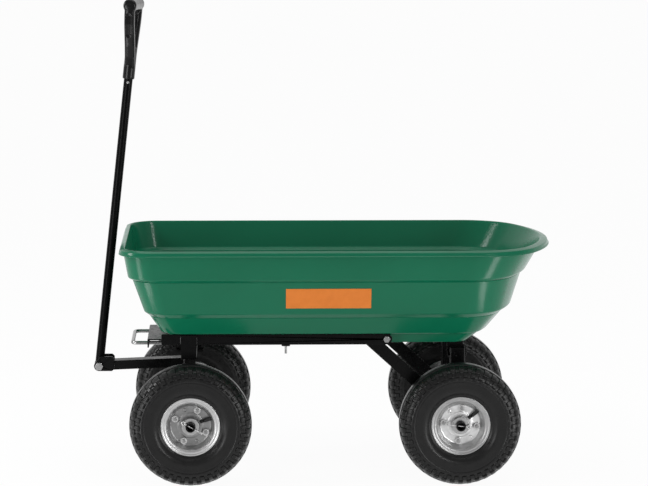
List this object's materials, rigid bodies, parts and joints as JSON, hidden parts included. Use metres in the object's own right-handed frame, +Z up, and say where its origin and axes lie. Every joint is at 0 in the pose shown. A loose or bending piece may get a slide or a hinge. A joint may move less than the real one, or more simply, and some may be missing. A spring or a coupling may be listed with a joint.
{
  "type": "tipping garden cart",
  "caption": "Garden dump cart: stepped plastic tub that tips over the rear axle of a steel frame on air wheels, with a steered front axle and a folding pull handle.",
  "frame": {"origin": "on the ground, midway along and across the cart", "axes": "-X towards the handle end, +X towards the dump end, +Y to the right side, +Z up"},
  "size_m": [0.991, 0.514, 1.021],
  "materials": {
    "tub_plastic": "moulded, satin gloss",
    "label": "plain label",
    "tyre": "moulded tread",
    "tube_rubber": "smooth",
    "rim_zinc": "silver paint",
    "bright_wire": "bright plated",
    "grip_plastic": "moulded",
    "nylon": "plain",
    "zinc_steel": "zinc plated",
    "black_steel": "gloss powder coat"
  },
  "bodies": {
    "chassis": {"rail_left": "black_steel", "rail_right": "black_steel", "front_bolster": "black_steel", "catch_plate": "black_steel", "cross_strap": "black_steel", "strap_studs": "zinc_steel", "brace_left": "black_steel", "brace_right": "black_steel", "rail_bolts": "zinc_steel", "rear_beam": "black_steel", "rear_axle": "black_steel", "post_left": "black_steel", "post_right": "black_steel", "hinge_rod": "zinc_steel", "rear_washers": "zinc_steel", "rear_cotters": "zinc_steel"},
    "tub": {"tub": "tub_plastic", "label_plate": "label", "hinge_ear_left": "black_steel", "hinge_ear_right": "black_steel", "latch_bracket": "black_steel", "tub_bolts": "zinc_steel"},
    "latch": {"latch_loop": "bright_wire"},
    "steering": {"front_beam": "black_steel", "front_axle": "black_steel", "front_column": "black_steel", "king_pin": "zinc_steel", "thrust_washer": "nylon", "drawbar": "black_steel", "clevis_cheeks": "black_steel", "clevis_bolt": "zinc_steel", "front_washers": "zinc_steel", "front_cotters": "zinc_steel"},
    "handle": {"handle_eye": "black_steel", "handle_tube": "black_steel", "grip": "grip_plastic"},
    "wheel_fl": {"tyre_fl": "tyre", "inner_tube_fl": "tube_rubber", "rim_outer_fl": "rim_zinc", "rim_inner_fl": "rim_zinc", "hub_fl": "zinc_steel", "rim_bolts_fl": "zinc_steel"},
    "wheel_fr": {"tyre_fr": "tyre", "inner_tube_fr": "tube_rubber", "rim_outer_fr": "rim_zinc", "rim_inner_fr": "rim_zinc", "hub_fr": "zinc_steel", "rim_bolts_fr": "zinc_steel"},
    "wheel_rl": {"tyre_rl": "tyre", "inner_tube_rl": "tube_rubber", "rim_outer_rl": "rim_zinc", "rim_inner_rl": "rim_zinc", "hub_rl": "zinc_steel", "rim_bolts_rl": "zinc_steel"},
    "wheel_rr": {"tyre_rr": "tyre", "inner_tube_rr": "tube_rubber", "rim_outer_rr": "rim_zinc", "rim_inner_rr": "rim_zinc", "hub_rr": "zinc_steel", "rim_bolts_rr": "zinc_steel"}
  },
  "joints": [
    {"name": "tub_tip", "type": "hinge", "parent": "chassis", "child": "tub", "pos_m": [0.2895, 0, 0.268], "axis": [0, 1, 0], "range_deg": [0, 80]},
    {"name": "latch_pull", "type": "slide", "parent": "tub", "child": "latch", "axis": [-1, 0, 0], "range_m": [0, 0.015], "stiffness_N_per_m": 600, "springref_m": -0.008},
    {"name": "steer", "type": "hinge", "parent": "chassis", "child": "steering", "pos_m": [-0.2865, 0, 0.26], "axis": [0, 0, 1], "range_deg": [-20, 20]},
    {"name": "handle_fold", "type": "hinge", "parent": "steering", "child": "handle", "pos_m": [-0.4845, 0, 0.22], "axis": [0, -1, 0], "range_deg": [0, 105]},
    {"name": "wheel_fl_spin", "type": "hinge", "parent": "steering", "child": "wheel_fl", "pos_m": [-0.2825, -0.2124, 0.13], "axis": [0, 1, 0], "continuous": true},
    {"name": "wheel_fr_spin", "type": "hinge", "parent": "steering", "child": "wheel_fr", "pos_m": [-0.2825, 0.2124, 0.13], "axis": [0, 1, 0], "continuous": true},
    {"name": "wheel_rl_spin", "type": "hinge", "parent": "chassis", "child": "wheel_rl", "pos_m": [0.2895, -0.2124, 0.13], "axis": [0, 1, 0], "continuous": true},
    {"name": "wheel_rr_spin", "type": "hinge", "parent": "chassis", "child": "wheel_rr", "pos_m": [0.2895, 0.2124, 0.13], "axis": [0, 1, 0], "continuous": true}
  ]
}
